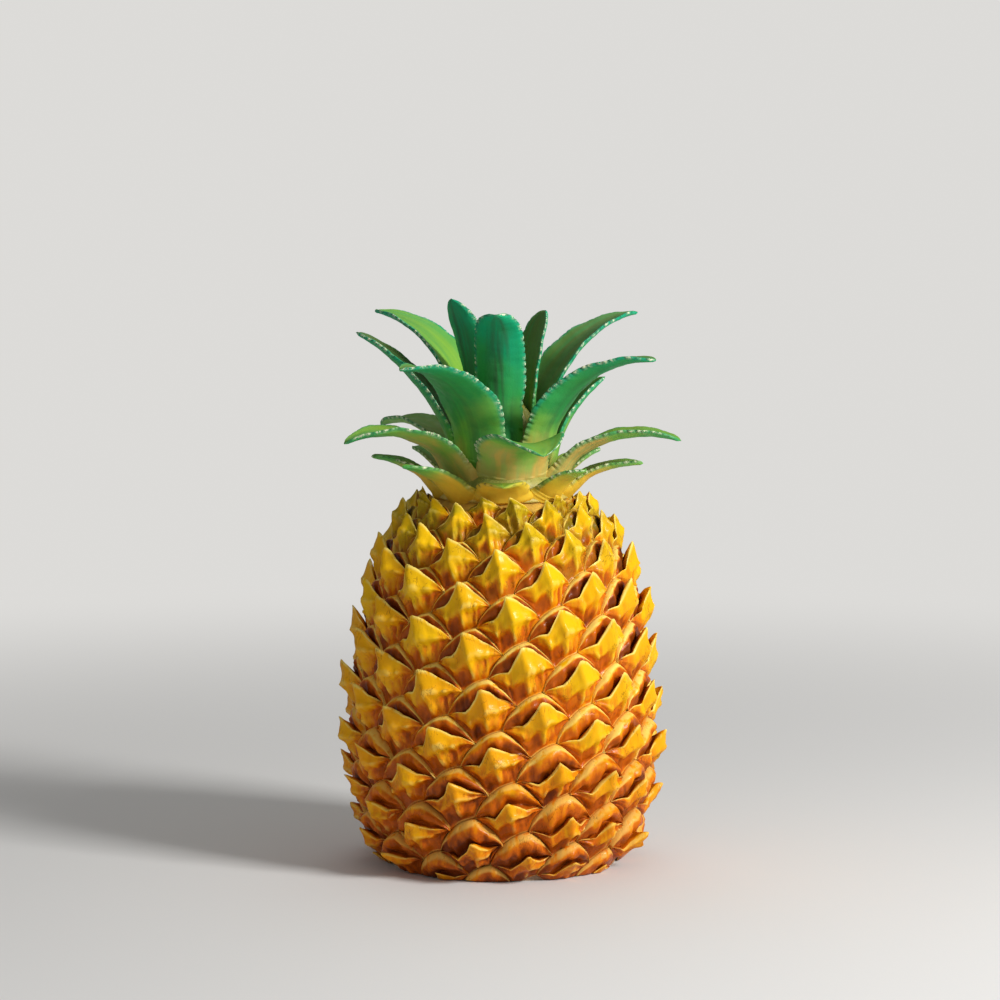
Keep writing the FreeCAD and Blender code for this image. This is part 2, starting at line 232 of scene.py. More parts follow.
def makeFruitletPaint(values):
    material, tree, shader = newPaint("fruitletPaint")
    blotch, streak, grain = addBrushing(tree, values["brushSizes"])
    reach, hollow, edge = (attribute(tree, name) for name in ("reach", "hollow", "edge"))
    flank, fold = attribute(tree, "flank"), attribute(tree, "fold")
    tone, level = attribute(tree, "tone"), attribute(tree, "level")

    warm = plus(tree, times(tree, level, 0.55), times(tree, tone, 0.3), times(tree, blotch, 0.5))
    base = mixColour(tree, spread(tree, warm, 0.35, 0.95), values["lemon"], values["yellow"])
    # orange and brown gather in the recesses, partly the figurine's own brown paint and partly
    # painted shade; painted shade darkens the left flanks, edges stay lighter, and the colour
    # darkens towards the foot
    washAndShade = plus(tree, times(tree, hollow, values["hollowWashAndShade"]),
                spread(tree, reach, 0.80, 0.12, 0, values["rootWashAndShade"]),
                times(tree, flank, values["flankShade"]),
                spread(tree, fold, 0.0, -0.9, 0, values["foldWashAndShade"]),
                # less brown on rims and seams, partly rubbed paint and partly painted highlight
                times(tree, edge, values["edgeRubAndHighlight"]),
                spread(tree, streak, 0.3, 0.7, -values["streakWash"], values["streakWash"]),
                spread(tree, level, 0.5, 1.0, 0, values["footDarkening"]))
    base = mixColour(tree, spread(tree, washAndShade, 0.10, 0.75), base, values["orange"])
    brown = times(tree, spread(tree, washAndShade, 0.52, 1.1), spread(tree, tone, 0, 1, 0.45, 1))
    base = mixColour(tree, brown, base, values["brown"])
    # olive at the neck; cream on edges and ridges, partly rubbed paint and partly painted highlight
    green = times(tree, spread(tree, level, 0.26, 0.02), spread(tree, blotch, 0.35, 0.6),
                  values["neckOlive"])
    base = mixColour(tree, green, base, values["olive"])
    rubbed = times(tree, spread(tree, edge, 0.3, 0.8), spread(tree, streak, 0.3, 0.5),
                   spread(tree, level, 0.5, 0.9, values["edgeCream"], values["footCream"]))
    base = mixColour(tree, rubbed, base, values["cream"])
    ridge = times(tree, spread(tree, fold, 0.25, 0.8), spread(tree, blotch, 0.35, 0.6),
                  values["ridgeCream"])
    base = mixColour(tree, ridge, base, values["cream"])
    # fine dark cracks where the streaks change sides
    crack = unsigned(tree, plus(tree, streak, -0.5))
    crack = times(tree, spread(tree, crack, 0.022, 0.004), spread(tree, blotch, 0.50, 0.58))
    base = mixColour(tree, times(tree, crack, values["crackBrown"]), base, values["brown"])

    height = plus(tree, streak, times(tree, grain, values["grainHeight"]),
                  times(tree, crack, values["crackHeight"]))
    addFinish(tree, shader, values, base, blotch, height)
    shader.inputs["Specular IOR Level"].default_value = values["specular"]
    shader.inputs["Coat Weight"].default_value = values["coat"]
    shader.inputs["Coat Roughness"].default_value = values["coatRoughness"]
    return material


leafColours = {
    "root": (0.46, 0.43, 0.11), "warmRoot": (0.70, 0.46, 0.10), "spring": (0.21, 0.50, 0.07),
    "green": (0.03, 0.36, 0.08), "teal": (0.003, 0.38, 0.17), "shade": (0.045, 0.10, 0.05),
    "bright": (0.25, 0.46, 0.03), "dull": (0.11, 0.10, 0.022), "yellow": (0.84, 0.52, 0.015),
    "nick": (0.008, 0.05, 0.03), "pale": (0.82, 0.80, 0.55),
    "edgeLow": (0.08, 0.32, 0.06), "edgeHigh": (0.003, 0.34, 0.17),
    "brushSizes": (60, 260, 1300),
    "strokesAcross": 4, "strokesAlong": 1.4,
    "tierRipe": 0.42, "lowYellow": 0.8, "lowShade": 0.08, "highShade": 0.75,
    "insideShare": 0.8, "rimShare": 0.8, "nickShare": 0.85,
    "roughRange": (0.47, 0.67), "specular": 0.25, "coat": 0.05, "coatRoughness": 0.4,
    "bump": 0.25, "bumpDistance": 0.7, "strokeHeight": 0.7, "grainHeight": 0.3,
}


def makeLeafPaint(values):
    material, tree, shader = newPaint("leafPaint")
    blotch, streak, grain = addBrushing(tree, values["brushSizes"])
    along, across, rim = (attribute(tree, name) for name in ("along", "across", "rim"))
    nick, fleck, inner = (attribute(tree, name) for name in ("nick", "fleck", "inner"))
    tier, glow, tone = (attribute(tree, name) for name in ("tier", "glow", "tone"))

    # soft strokes run along the blade
    place = tree.nodes.new("ShaderNodeCombineXYZ")
    tree.links.new(times(tree, across, values["strokesAcross"]), place.inputs[0])
    tree.links.new(times(tree, along, values["strokesAlong"]), place.inputs[1])
    tree.links.new(times(tree, tone, 40), place.inputs[2])      # other strokes on each leaf
    stroke = noiseAt(tree, place.outputs["Vector"], 1, 3)

    # pale roots pass through spring green into teal tips, sooner on the upper leaves
    ripe = plus(tree, times(tree, along, 0.5),
                spread(tree, tier, 0.2, 0.55, 0, values["tierRipe"]),
                spread(tree, blotch, 0.3, 0.7, -0.1, 0.1), spread(tree, tone, 0, 1, -0.05, 0.05))
    root = mixColour(tree, spread(tree, stroke, 0.42, 0.62), values["root"], values["warmRoot"])
    base = mixColour(tree, spread(tree, ripe, 0.14, 0.34), root, values["spring"])
    base = mixColour(tree, spread(tree, ripe, 0.30, 0.56), base, values["green"])
    base = mixColour(tree, spread(tree, ripe, 0.56, 0.95), base, values["teal"])
    low = times(tree, spread(tree, tier, 0.2, 0.08), spread(tree, along, 0.8, 0.3),
                values["lowYellow"])
    base = mixColour(tree, low, base, values["yellow"])
    # darker paint down the middle of the blade, partly brushwork and partly painted shade, stronger
    # on the upper leaves
    middle = times(tree, spread(tree, unsigned(tree, across), 0.8, 0.1),
                   spread(tree, stroke, 0.3, 0.65),
                   spread(tree, tier, 0.1, 0.7, values["lowShade"], values["highShade"]))
    base = mixColour(tree, middle, base, values["shade"])
    # painted light and shade on the upper face of each leaf, from a shaded colour to a lit one by
    # each leaf's share in the table
    inside = mixColour(tree, glow, values["dull"], values["bright"])
    inside = mixColour(tree, spread(tree, stroke, 0.35, 0.7, 0, 0.5), inside, values["green"])
    base = mixColour(tree, times(tree, inner, values["insideShare"]), base, inside)
    # painted margins with dark nicks and pale flecks
    edge = mixColour(tree, spread(tree, tier, 0.1, 0.4), values["edgeLow"], values["edgeHigh"])
    base = mixColour(tree, times(tree, rim, values["rimShare"]), base, edge)
    base = mixColour(tree, times(tree, nick, values["nickShare"]), base, values["nick"])
    rubbed = times(tree, fleck, spread(tree, grain, 0.4, 0.55))
    base = mixColour(tree, rubbed, base, values["pale"])

    height = plus(tree, times(tree, stroke, values["strokeHeight"]),
                  times(tree, grain, values["grainHeight"]))
    addFinish(tree, shader, values, base, streak, height)
    shader.inputs["Specular IOR Level"].default_value = values["specular"]
    shader.inputs["Coat Weight"].default_value = values["coat"]
    shader.inputs["Coat Roughness"].default_value = values["coatRoughness"]
    return material


# paints that change colour over a band of heights, from its start to its end
plainColours = {
    "stemPaint": {"light": (0.44, 0.40, 0.10), "dark": (0.20, 0.22, 0.035),
                  "bandStart": 160.0, "bandEnd": 150.0, "band": (0.72, 0.52, 0.10),
                  "roughRange": (0.35, 0.55), "bump": 0.35},
    "grooveGround": {"light": (0.42, 0.16, 0.010), "dark": (0.16, 0.05, 0.006),
                     "bandStart": 143.0, "bandEnd": 148.5, "band": (0.74, 0.46, 0.06),
                     "roughRange": (0.5, 0.7), "bump": 0.5},
    "bareCeramic": {"light": (0.70, 0.64, 0.53), "dark": (0.46, 0.39, 0.30),
                    "bandStart": 0.02, "bandEnd": 0.3, "band": (0.40, 0.13, 0.008),
                    "roughRange": (0.7, 0.9), "bump": 0.45},
}
plainShared = {"brushSizes": (120, 500, 2200), "bumpDistance": 0.5, "grainHeight": 0.6}


def makePlainPaint(name):
    values = {**plainShared, **plainColours[name]}
    material, tree, shader = newPaint(name)
    blotch, streak, grain = addBrushing(tree, values["brushSizes"])
    share = plus(tree, blotch, spread(tree, grain, 0.3, 0.7, -0.15, 0.15))
    base = mixColour(tree, spread(tree, share, 0.3, 0.7), values["light"], values["dark"])
    place = tree.nodes.new("ShaderNodeSeparateXYZ")
    tree.links.new(tree.nodes.new("ShaderNodeTexCoord").outputs["Object"], place.inputs[0])
    band = times(tree, spread(tree, place.outputs["Z"], values["bandStart"] * mm,
                              values["bandEnd"] * mm), spread(tree, blotch, 0.3, 0.6, 1, 0.5))
    base = mixColour(tree, band, base, values["band"])
    height = plus(tree, times(tree, grain, values["grainHeight"]), streak)
    addFinish(tree, shader, values, base, streak, height)
    return material


fruitletPaint = makeFruitletPaint(fruitletColours)
leafPaint = makeLeafPaint(leafColours)
stemPaint = makePlainPaint("stemPaint")
groovePaint = makePlainPaint("grooveGround")
footPaint = makePlainPaint("bareCeramic")
print("paints made")


def finishPiece(bm, name, paint, node):
    bmesh.ops.recalc_face_normals(bm, faces=bm.faces)
    for face in bm.faces:
        face.smooth = True
    mesh = bpy.data.meshes.new(name)
    bm.to_mesh(mesh)
    bm.free()
    mesh.materials.append(paint)
    piece = bpy.data.objects.new(name, mesh)
    bpy.context.scene.collection.objects.link(piece)
    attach(piece, "root")
    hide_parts(node)


# fruitlets, an upturned bract over a rounded pillow in each cell of the spirals
fruitletValues = {
    "divergence": 220.3, "rise": 1.133, "smallStep": 5, "largeStep": 18,
    "firstTurn": -175.9, "firstRun": -13.0, "footOverrun": 5.0,
    "crowdingStart": 70.0, "crowdingLength": 220.0, "growingRun": 34.0, "neckMargin": 0.9,
    "cornerShift": 2.0, "cornerDrop": 2.4, "cornerSide": 0.4, "bulge": 1.0,
    "joint": 0.02,                  # half of the groove between two fruitlets
    "tipHeight": 10.5, "lowTip": 0.70,
    "openingStart": 70.0, "openingEnd": 125.0,
    "footShare": 0.3, "footRise": 14,       # they flatten out towards the foot
    "backHeight": 0.6, "floorGap": 0.4,
    "acrossSteps": 26, "alongSteps": 44,
    "sideLine": 0.42, "corner": 0.25, "leastHeight": 0.05,
    # from one fruitlet to the next
    "smallest": 0.90, "sizeSpread": 0.24, "openingSpread": 0.3, "stretchSpread": 0.5,
    "tipAcross": 0.16, "closedTipSpread": 0.14, "openTipSpread": 0.34,
    "lean": 3.2, "leanMiddle": 0.65,
    # relief, as shares of the tip's height
    "creaseHeight": 0.17, "roughHeight": 0.055, "rippleHeight": 0.04,
    "unevenWay": 0.03,
}

# from the lower edge over the bract, its rim and the hollow to the pillow and the upper edge:
# way across the cell and height, on the middle line and on the left and right side lines
closedRows = (
    (0.000, 0.20, 0.000, 0.19, 0.000, 0.19), (0.030, 0.22, 0.030, 0.18, 0.030, 0.18),
    (0.090, 0.31, 0.090, 0.21, 0.090, 0.23), (0.190, 0.48, 0.170, 0.30, 0.190, 0.33),
    (0.310, 0.66, 0.280, 0.40, 0.310, 0.45), (0.430, 0.83, 0.380, 0.48, 0.410, 0.56),
    (0.600, 0.90, 0.490, 0.51, 0.530, 0.60), (0.780, 0.96, 0.590, 0.54, 0.660, 0.63),
    (0.925, 1.00, 0.660, 0.56, 0.770, 0.66), (0.945, 0.97, 0.680, 0.53, 0.790, 0.63),
    (0.900, 0.87, 0.665, 0.46, 0.750, 0.54), (0.780, 0.65, 0.625, 0.38, 0.680, 0.42),
    (0.670, 0.44, 0.590, 0.31, 0.610, 0.32), (0.610, 0.31, 0.565, 0.26, 0.580, 0.26),
    (0.630, 0.25, 0.585, 0.24, 0.600, 0.22), (0.700, 0.33, 0.660, 0.33, 0.690, 0.29),
    (0.790, 0.42, 0.760, 0.42, 0.790, 0.37), (0.870, 0.47, 0.850, 0.47, 0.865, 0.42),
    (0.930, 0.45, 0.920, 0.45, 0.925, 0.40), (0.970, 0.38, 0.970, 0.37, 0.970, 0.34),
    (1.000, 0.26, 1.000, 0.24, 1.000, 0.24),
)
openRows = (
    (0.000, 0.20, 0.000, 0.19, 0.000, 0.19), (0.030, 0.22, 0.030, 0.18, 0.030, 0.18),
    (0.090, 0.30, 0.080, 0.21, 0.080, 0.20), (0.180, 0.45, 0.160, 0.29, 0.150, 0.27),
    (0.280, 0.61, 0.240, 0.39, 0.220, 0.35), (0.380, 0.79, 0.320, 0.49, 0.280, 0.45),
    (0.500, 0.88, 0.400, 0.53, 0.340, 0.48), (0.620, 0.94, 0.470, 0.55, 0.390, 0.50),
    (0.720, 0.98, 0.520, 0.57, 0.430, 0.51), (0.735, 0.94, 0.535, 0.54, 0.450, 0.48),
    (0.710, 0.82, 0.530, 0.47, 0.450, 0.42), (0.670, 0.64, 0.525, 0.40, 0.450, 0.36),
    (0.640, 0.48, 0.520, 0.34, 0.460, 0.31), (0.630, 0.38, 0.530, 0.31, 0.475, 0.28),
    (0.650, 0.38, 0.560, 0.34, 0.520, 0.31), (0.700, 0.49, 0.640, 0.45, 0.610, 0.42),
    (0.770, 0.61, 0.725, 0.55, 0.705, 0.52), (0.840, 0.66, 0.815, 0.59, 0.805, 0.56),
    (0.910, 0.61, 0.895, 0.54, 0.890, 0.51), (0.965, 0.46, 0.960, 0.42, 0.960, 0.40),
    (1.000, 0.28, 1.000, 0.24, 1.000, 0.24),
)
lastRow = len(closedRows) - 1
noseRow, rimRow, behindRow, browRow, seamRow = 5.3, 8.5, 9.5, 18.6, 19.1
fruitletLayers = ("across", "way", "reach", "hollow", "edge", "flank", "fold", "tone", "level")


def wrapTurn(turn):
    return (turn + 180) % 360 - 180


def cellEdges(values):              # lower and upper edge of a cell, as turn and run
    turn, rise = values["divergence"], values["rise"]
    a = Vector((wrapTurn(values["smallStep"] * turn), values["smallStep"] * rise))
    b = Vector((wrapTurn(values["largeStep"] * turn), values["largeStep"] * rise))
    c = a - b
    shift = Vector((degrees(values["cornerShift"] / bodyValues["bellyRadius"]),
                    values["cornerDrop"]))
    right, left = (a + c) / 3 + shift, -(a + c) / 3
    return (left, right - c, left + a, right), (left, right - a, left + c, right)


lowerEdge, upperEdge = cellEdges(fruitletValues)


def edgeSpot(values, corners, across):      # the edges bulge upwards like arches
    side = values["cornerSide"]
    k = 0 if across < -side else 1 if across <= side else 2
    start, size = ((-1, 1 - side), (-side, 2 * side), (side, 1 - side))[k]
    share = (across - start) / size
    a, b = corners[k], corners[k + 1]
    along = Vector((radians(b[0] - a[0]) * bodyValues["bellyRadius"], b[1] - a[1]))
    bulge = values["bulge"] * 4 * share * (1 - share)
    out = Vector((along[1], -along[0])).normalized() * bulge
    return a.lerp(b, share) + Vector((degrees(out[0] / bodyValues["bellyRadius"]), out[1]))


def crowded(values, run):           # rows crowd together towards the neck
    start, length = values["crowdingStart"], values["crowdingLength"]
    if run > start:
        return run
    if run > 0:
        return run + (start - run) ** 2 / (2 * length)
    room = start ** 2 / (2 * length) - values["neckMargin"]
    return values["neckMargin"] + room * exp(run * (1 - start / length) / room)


def rowPoint(rows, place):          # smooth curve through the rows
    k = min(int(place), len(rows) - 2)
    t = place - k
    before, here = rows[max(k - 1, 0)], rows[k]
    there, after = rows[k + 1], rows[min(k + 2, len(rows) - 1)]
    return [0.5 * (2 * q + (r - p) * t + (2 * p - 5 * q + 4 * r - s) * t * t
                   + (3 * q - p - 3 * r + s) * t ** 3)
            for p, q, r, s in zip(before, here, there, after)]


def fruitletSpot(values, own, across, along, height, lean=0):
    low = edgeSpot(values, lowerEdge, across)
    high = edgeSpot(values, upperEdge, across)
    reach = values["largeStep"] * values["rise"] / 2
    way = low.lerp(high, along) * (1 - values["joint"] / reach)
    radius, level, tilt = skin(crowded(values, own["run"] + way[1]))
    height *= blend(values["footShare"], 1, ease(level / values["footRise"]))
    out = radius + height * cos(tilt)
    angle = radians(own["turn"] + way[0]) + lean / out
    return Vector((out * sin(angle), -out * cos(angle), level + height * sin(tilt))) * mm


def fruitletOwn(values, index):     # what sets one fruitlet apart from the others
    run = values["firstRun"] + index * values["rise"]
    grown = min(1, values["lowTip"]
                + (1 - values["lowTip"]) * (run - values["firstRun"]) / values["growingRun"])
    opened = (run - values["openingStart"]) / (values["openingEnd"] - values["openingStart"])
    opened = min(1, max(0, opened + (chance(index, 1) - 0.5) * values["openingSpread"]))
    tipSpread = blend(values["closedTipSpread"], values["openTipSpread"], opened)
    return {
        "turn": wrapTurn(values["firstTurn"] + index * values["divergence"]), "run": run,
        "opened": opened,
        "tip": values["tipHeight"] * grown * (values["smallest"]
                                              + values["sizeSpread"] * chance(index, 11)),
        "tipAcross": values["tipAcross"] + (chance(index, 2) - 0.5) * tipSpread,
        "stretch": 1 + values["stretchSpread"] * (chance(index, 14) - 0.5) * opened,
        "lean": (chance(index, 7) - values["leanMiddle"]) * values["lean"],
        "hood": 0.85 + 0.75 * chance(index, 12),    # right side of the tip, hollow to rounded
        "creases": ((-0.45 - 0.2 * chance(index, 3), 0.8 * chance(index, 4)),
                    (0.16 + 0.14 * chance(index, 5), 0.25 + 0.5 * chance(index, 13)),
                    (0.40 + 0.16 * chance(index, 8), 0.3 + 0.5 * chance(index, 9))),
        "ripple": 6 * chance(index, 10), "tone": chance(index, 6),
        "seed": Vector((index * 3.1, index * 1.7, 0)),
    }


def mainForm(values, own, across, place, keel):     # way across the cell and height
    opened = own["opened"]
    row = [blend(p, q, opened) for p, q in
           zip(rowPoint(closedRows, place), rowPoint(openRows, place))]
    (a, h), (aSide, hSide) = row[:2], row[2:4] if across < keel else row[4:]
    off = abs(across - keel * (1 - abs(across)))
    if off < values["sideLine"]:
        share = off / values["sideLine"]
        hollowed = 1 - (1 - share) ** 1.35
        bent = hollowed if across < keel else share ** blend(own["hood"], 0.8, opened)
        share = blend(hollowed, bent, hump(place - rimRow, 4.0))
        return blend(a, aSide, share), blend(h, hSide, share)
    share = (off - values["sideLine"]) / (1 - values["sideLine"])
    share = blend(share, ease(share), 0.5)
    end = values["corner"] * ease(min(place, lastRow - place) / 1.2)
    return aSide, blend(hSide, end, share)


def bractFolds(own, across, place, keel):       # keel, nose and creases on the bract's front
    below = ease((noseRow + 0.4 - place) / 1.6)
    noseSize = 0.8 if across > keel else 0.35
    lines = hump(across - keel, 0.07) * below
    lines -= 0.5 * hump(across - keel + 0.34, 0.28) * below * (1 - 0.5 * own["opened"])
    lines += noseSize * hump(place - noseRow, 0.6)
    lines -= noseSize * hump(place - noseRow + 1.3, 0.9)
    lines += sum(size * (hump(across - keel - middle, 0.05)
                         - 0.8 * hump(across - keel - middle - 0.1, 0.06))
                 for middle, size in own["creases"]) * ease((noseRow + 2.5 - place) / 3)
    return lines * ease((place - 0.5) / 2) * ease((rimRow - 0.5 - place) / 3)


def addFruitlet(bm, values, index):
    own = fruitletOwn(values, index)
    opened, seed = own["opened"], own["seed"]
    layers = {name: bm.verts.layers.float[name] for name in fruitletLayers}
    made = bmesh.ops.create_grid(bm, x_segments=values["acrossSteps"],
                                 y_segments=values["alongSteps"], size=1)["verts"]
    for vert in made:
        across, place = vert.co.x, (vert.co.y + 1) / 2 * lastRow
        keel = blend(0.02, own["tipAcross"], ease(place / (rimRow - 1)))
        along, height = mainForm(values, own, across, place, keel)
        fade = 1 - abs(across) ** 3
        inner = ease(min(place, lastRow - place) / 2)
        folds = bractFolds(own, across, place, keel) * fade
        behind = (ease((place - behindRow) / 2.5)
                  * ease((browRow + 0.6 - place) / blend(2.5, 4, opened)))
        rough = noise.noise(Vector((across * 2.2, place * 0.35, 0)) + seed)
        fine = noise.noise(Vector((across * 6, place * 0.9, 3)) + seed)
        height += values["creaseHeight"] * folds
        height += values["rippleHeight"] * behind * fade * sin(across * 17 + own["ripple"])
        height += values["roughHeight"] * (rough * 1.6 + fine * 0.7) * inner * (1 + 0.6 * opened)
        height = max(height, values["leastHeight"])
        wander = noise.noise(Vector((across * 3, place * 0.2, 7)) + seed)
        along = max(0, along + values["unevenWay"] * wander * inner) ** own["stretch"]
        seam = max(hump(place - seamRow, 1.2), hump(place - 0.3, 0.7) * (1 - 0.4 * fade),
                   ease((abs(across) - 0.9) / 0.1) * 0.8)

        vert[layers["across"]], vert[layers["way"]] = across, along
        vert[layers["reach"]] = height
        vert[layers["hollow"]] = behind * (1 - 0.55 * opened) * fade
        vert[layers["edge"]] = max(hump(place - rimRow, 1.0), seam)
        # the left flank of each bract, which gets painted shade
        vert[layers["flank"]] = (ease(place / 2) * fade * ease((keel - across) / 0.07)
                                 * (1 - 0.4 * opened) * ease((rimRow + 0.5 - place) / 6.5))
        vert[layers["fold"]] = folds
        vert[layers["tone"]] = own["tone"]
        vert[layers["level"]] = min(1, max(0, own["run"] / 160))
        vert.co = fruitletSpot(values, own, across, along, own["tip"] * height,
                               own["lean"] * height ** 2 * fade * (1 - 0.6 * opened))

    rim = list({e for v in made for e in v.link_edges if e.is_boundary})
    skirt = bmesh.ops.extrude_edge_only(bm, edges=rim)["geom"]
    for vert in (g for g in skirt if isinstance(g, bmesh.types.BMVert)):
        vert.co = fruitletSpot(values, own, vert[layers["across"]], vert[layers["way"]],
                               values["backHeight"])
        vert[layers["reach"]] = 0
    ends = [g for g in skirt if isinstance(g, bmesh.types.BMEdge) and g.is_boundary]
    bmesh.ops.edgenet_fill(bm, edges=ends)


def cutAtFloor(bm, level):
    if min(v.co.z for v in bm.verts) < level:
        geom = bm.verts[:] + bm.edges[:] + bm.faces[:]
        cut = bmesh.ops.bisect_plane(bm, geom=geom, plane_co=(0, 0, level), plane_no=(0, 0, 1),
                                     clear_inner=True)["geom_cut"]
        bmesh.ops.edgenet_fill(bm, edges=[g for g in cut if isinstance(g, bmesh.types.BMEdge)])


def addFruitletColumn(values, number):
    bm = bmesh.new()
    for name in fruitletLayers:
        bm.verts.layers.float.new(name)
    total = int((arcs["shoulderRun"] + arcs["flankRun"] + arcs["lowRun"]
                 + values["footOverrun"] - values["firstRun"]) / values["rise"])
    for index in range(number, total, values["largeStep"]):
        addFruitlet(bm, values, index)
    bmesh.ops.remove_doubles(bm, verts=bm.verts, dist=0.01 * mm)
    cutAtFloor(bm, values["floorGap"] * mm)
    finishPiece(bm, f"fruitlets{number + 1:02d}", fruitletPaint,
                f"fruitlet_column_{number + 1:02d}")


for number in range(fruitletValues["largeStep"]):
    addFruitletColumn(fruitletValues, number)
print("fruitlets made")


# crown: leaves with nicked margins on a ribbed stem
stemValues = {
    "flangeRadius": 23.8, "flangeHeight": 2.0, "rise": 40.0, "topRadius": 8.0,
    "budStart": 34.0, "budRise": 46.0, "ribs": 13, "ribDepth": 0.5,
    "skirt": 2.4, "skirtHeight": 1.6,
    "fill": 3.4, "fillMiddle": 6.5, "fillHeight": 5,    # clay smoothed over the leaf roots
    "roughness": 0.7, "sunk": 0.3, "around": 104, "upSteps": 59,
}
leafValues = {
    "length": 60.0, "width": 26.0, "thickness": 2.6, "margin": 2.0,
    "widest": 0.34, "channel": 0.15, "flare": 0.3, "flareEnd": 0.22,
    "swellReach": 16, "tipRounding": 1.2,
    "ringStep": 0.42, "around": 36, "sinkSteps": 6,
    "nickStep": 3.0, "nickDepth": 0.6, "nickWidth": 0.45, "nickReach": 3,
    "firstNick": 5.0, "lastNick": 1.0,
    "wave": 0.2, "waveLength": 2.3, "bead": 0.18, "roughness": 0.16,
    "plainLength": 15,              # leaves shorter than this are flat with a plain rim
}
# the first nine columns are as in the solids
# the last column is how lit each leaf's upper face is painted, from painted shade at 0 to painted
# light at 1
leafColumns = ("node", "turn", "height", "length", "width", "rootWidth", "start", "end", "sway",
               "blunt", "swell", "sink", "glow")
leafTable = (
    ("leaf_low_front", 0, 0.07, 0.28, 0.90, 0.80, 56, -22, 0, 2.2, 2.8, 4, 0.7),
    ("leaf_low_front_right", 46, 0.06, 0.42, 0.68, 0.86, 38, 18, 0, 2.8, 2.5, 4, 0.5),
    ("leaf_low_right", 90, 0.06, 0.61, 0.66, 0.86, 40, -2, 0, 2.8, 2.5, 4, 0.6),
    ("leaf_low_back_right", 132, 0.07, 0.58, 0.66, 0.86, 40, 8, 0, 2.8, 2.5, 4, 0.6),
    ("leaf_low_back", 178, 0.06, 0.56, 0.68, 0.86, 40, 8, 0, 2.8, 2.5, 4, 0.6),
    ("leaf_low_back_left", -136, 0.07, 0.58, 0.66, 0.86, 42, 8, 0, 2.8, 2.5, 4, 0.6),
    ("leaf_low_left", -90, 0.06, 0.57, 0.66, 0.86, 45, 6, 0, 2.8, 2.5, 4, 0.5),
    ("leaf_low_front_left", -44, 0.06, 0.62, 0.68, 0.86, 35, 10, 0, 2.8, 2.5, 4, 0.7),
    ("leaf_outer_front", 12, 0.27, 0.68, 1.38, 0.64, 67, -34, 16, 3.4, 1.6, 6, 0.7),
    ("leaf_outer_right", 78, 0.23, 0.98, 0.96, 0.64, 50, -18, 0, 2.6, 3.0, 5, 0.7),
    ("leaf_outer_back", 162, 0.24, 0.90, 0.96, 0.64, 55, -18, 0, 2.6, 3.0, 5, 0.5),
    ("leaf_outer_back_left", -130, 0.25, 0.90, 0.98, 0.64, 60, -22, 0, 2.6, 3.0, 5, 0.4),
    ("leaf_outer_left", -56, 0.23, 1.01, 1.04, 0.64, 56, -23, -8, 2.6, 3.0, 5, 0.7),
    ("leaf_middle_front_left", -34, 0.42, 1.14, 1.24, 0.60, 82, -5, -10, 2.6, 1.5, 6, 0.4),
    ("leaf_middle_right_front", 54, 0.43, 1.24, 1.06, 0.60, 76, -2, 8, 2.6, 1.5, 6, 0.4),
    ("leaf_middle_right", 106, 0.36, 0.72, 0.84, 0.60, 74, 34, 0, 2.6, 1.5, 6, 0.3),
    ("leaf_middle_back", 172, 0.42, 1.05, 0.96, 0.60, 72, 10, 0, 2.6, 1.5, 6, 0.5),
    ("leaf_middle_left", -98, 0.42, 1.13, 0.94, 0.60, 71, 28, 0, 2.6, 1.5, 6, 0.0),
    ("leaf_upper_left", -122, 0.64, 1.25, 1.08, 0.60, 84, 6, 0, 2.6, 1.0, 8, 1.0),
    ("leaf_upper_right", 122, 0.63, 1.28, 0.98, 0.60, 80, 6, 0, 2.6, 1.0, 8, 0.2),
    ("leaf_heart_front", -4, 0.72, 0.98, 0.80, 0.66, 94, 26, 0, 7.0, 0.5, 12, 0.4),
    ("leaf_heart_left", -76, 0.80, 0.86, 0.88, 0.56, 90, 63, 32, 4.5, 0.5, 12, 0.4),
    ("leaf_heart_right", 122, 0.82, 0.74, 0.74, 0.60, 90, 66, 0, 5.0, 0.5, 12, 0.2),
    ("leaf_heart_back", 174, 0.66, 0.80, 0.56, 0.60, 84, 44, 0, 2.6, 0.5, 8, 0.5),
)
leafLayers = ("along", "across", "rim", "nick", "fleck", "tier", "inner", "glow", "tone")


def addTube(bm, around, cuts):      # closed upright tube of radius and height 1, to be shaped
    bmesh.ops.create_cone(bm, segments=around, radius1=1, radius2=1, depth=1,
                          cap_ends=True, cap_tris=True)
    upright = [e for e in bm.edges if abs(e.verts[0].co.z - e.verts[1].co.z) > 0.5]
    bmesh.ops.subdivide_edges(bm, edges=upright, cuts=cuts, use_grid_fill=True)


def leafMidline(leaf, length, steps):       # place, side, up and tangent at each step
    level = stemValues["rise"] * leaf["height"]
    slope = (level - stemValues["flangeHeight"]) / (stemValues["rise"] - stemValues["flangeHeight"])
    radius = blend(stemValues["flangeRadius"], stemValues["topRadius"], slope)
    turn = radians(leaf["turn"])
    place = Vector((radius * sin(turn), -radius * cos(turn), arcs["neckHeight"] + level))
    line = []
    for step in range(steps + 1):
        along = step / steps
        angle = radians(leaf["turn"] + leaf["sway"] * along)
        elevation = radians(blend(leaf["start"], leaf["end"], along))
        outward, side = Vector((sin(angle), -cos(angle), 0)), Vector((cos(angle), sin(angle), 0))
        tangent = outward * cos(elevation) + Vector((0, 0, sin(elevation)))
        up = Vector((0, 0, cos(elevation))) - outward * sin(elevation)
        line.append((place.copy(), side, up, tangent))
        place = place + tangent * length / steps
    return line


def nickPlaces(values, number, margin, length):     # uneven steps along one margin
    places, place, count = [], values["firstNick"], 0
    while place < length - values["lastNick"]:
        places.append((place, 0.55 + 0.6 * chance(number * 7 + margin, count + 20)))
        place += values["nickStep"] * (0.65 + 0.75 * chance(number * 5 + margin, count + 50))
        count += 1
    return places


